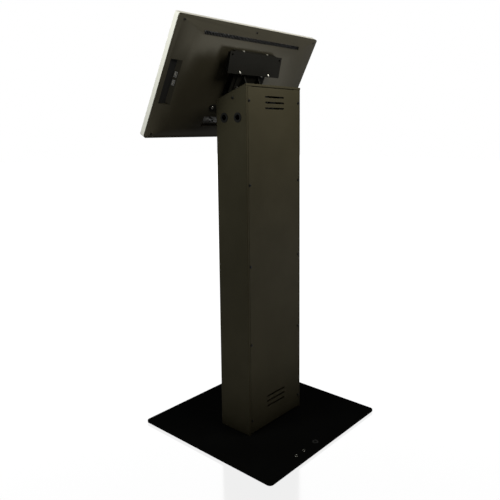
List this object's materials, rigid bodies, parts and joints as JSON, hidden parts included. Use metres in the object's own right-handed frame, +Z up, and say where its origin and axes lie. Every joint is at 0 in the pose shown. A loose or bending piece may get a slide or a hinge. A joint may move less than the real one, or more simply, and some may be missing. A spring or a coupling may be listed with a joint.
{
  "type": "touchscreen kiosk",
  "caption": "Free-standing touchscreen kiosk: tilting wide touch monitor on a slope-topped sheet-steel column with a screwed, vented rear cover and a square base plate.",
  "frame": {"origin": "on the floor, at the centre of the square base plate", "axes": "+Z up, -Y is the side that the screen faces, +X is to the right seen from the screen side; the rear cover faces +Y"},
  "size_m": [0.568, 0.5, 1.1749],
  "materials": {
    "base_coat": "satin black powder coat",
    "column_coat": "fine textured black powder coat",
    "head_coat": "satin black powder coat",
    "black_screw": "black oxide",
    "zinc": "bright zinc plate",
    "brass": "turned",
    "bare_steel": "galvanised sheet",
    "rubber_black": "matt",
    "rubber_grey": "matt",
    "shell_plastic": "fine moulded grain",
    "silver_frame": "satin anodised",
    "touch_glass": "polished, printed black behind",
    "lcd": "satin",
    "board": "solder mask",
    "black_plastic": "moulded",
    "white_nylon": "natural nylon",
    "grey_plastic": "moulded",
    "red_plastic": "gloss"
  },
  "bodies": {
    "root": {"base_plate": "base_coat", "column_shell": "column_coat", "rear_cover": "column_coat", "top_cap": "column_coat", "foot_plate": "column_coat", "tilt_yoke": "head_coat", "fan_bracket": "head_coat", "pc_shelf": "head_coat", "cover_screws": "black_screw", "cap_screws": "black_screw", "yoke_bolts": "black_screw", "foot_bolts": "zinc", "foot_nuts": "zinc", "cover_nuts": "zinc", "cap_nuts": "zinc", "yoke_nuts": "zinc", "pivot_bolts": "zinc", "pivot_nuts": "zinc", "disc_springs": "zinc", "fan_screws": "zinc", "earth_stud": "brass", "floor_pads": "rubber_black", "cap_slot_trim": "rubber_black", "side_grommets": "rubber_black", "lead_grommet": "rubber_grey", "fan_frame": "black_plastic", "pc_case": "black_plastic", "pc_lid": "black_plastic", "power_adapter": "black_plastic", "adapter_strap": "black_plastic", "friction_washers": "white_nylon", "socket_strip": "grey_plastic"},
    "head": {"tilt_bracket": "head_coat", "bracket_bolts": "zinc", "tray": "head_coat", "tray_screws": "zinc", "vesa_plate": "head_coat", "vesa_screws": "zinc", "vesa_bosses": "brass", "corner_screws": "zinc", "rear_shell": "shell_plastic", "shell_screws": "black_screw", "front_frame": "silver_frame", "touch_glass": "touch_glass", "lcd_panel": "lcd", "panel_tray": "bare_steel", "main_board": "board", "power_board": "board", "speakers": "black_plastic", "port_plate": "bare_steel", "rear_ports": "bare_steel", "side_ports": "bare_steel"},
    "power_button": {"power_button": "black_plastic"},
    "menu_button": {"menu_button": "black_plastic"},
    "down_button": {"down_button": "black_plastic"},
    "up_button": {"up_button": "black_plastic"},
    "select_button": {"select_button": "black_plastic"},
    "fan_rotor": {"fan_rotor": "black_plastic"},
    "pc_button": {"pc_button": "grey_plastic"},
    "strip_switch": {"strip_switch": "red_plastic"}
  },
  "joints": [
    {"name": "screen_tilt", "type": "hinge", "parent": "root", "child": "head", "pos_m": [0, -0.02909, 0.99745], "axis": [-1, 0, 0], "range_deg": [-20, 30]},
    {"name": "power_press", "type": "slide", "parent": "head", "child": "power_button", "axis": [0, 0.4695, 0.8829], "range_m": [0, 0.0008], "stiffness_N_per_m": 600},
    {"name": "menu_press", "type": "slide", "parent": "head", "child": "menu_button", "axis": [0, 0.4695, 0.8829], "range_m": [0, 0.0008], "stiffness_N_per_m": 600},
    {"name": "down_press", "type": "slide", "parent": "head", "child": "down_button", "axis": [0, 0.4695, 0.8829], "range_m": [0, 0.0008], "stiffness_N_per_m": 600},
    {"name": "up_press", "type": "slide", "parent": "head", "child": "up_button", "axis": [0, 0.4695, 0.8829], "range_m": [0, 0.0008], "stiffness_N_per_m": 600},
    {"name": "select_press", "type": "slide", "parent": "head", "child": "select_button", "axis": [0, 0.4695, 0.8829], "range_m": [0, 0.0008], "stiffness_N_per_m": 600},
    {"name": "pc_press", "type": "slide", "parent": "root", "child": "pc_button", "axis": [0, -1, 0], "range_m": [0, 0.001], "stiffness_N_per_m": 600},
    {"name": "strip_rock", "type": "hinge", "parent": "root", "child": "strip_switch", "pos_m": [0.071, -0.0215, 0.202], "axis": [1, 0, 0], "range_deg": [-8, 8]},
    {"name": "fan_spin", "type": "hinge", "parent": "root", "child": "fan_rotor", "pos_m": [0, 0.04, 0.956], "axis": [0, 1, 0], "continuous": true}
  ]
}
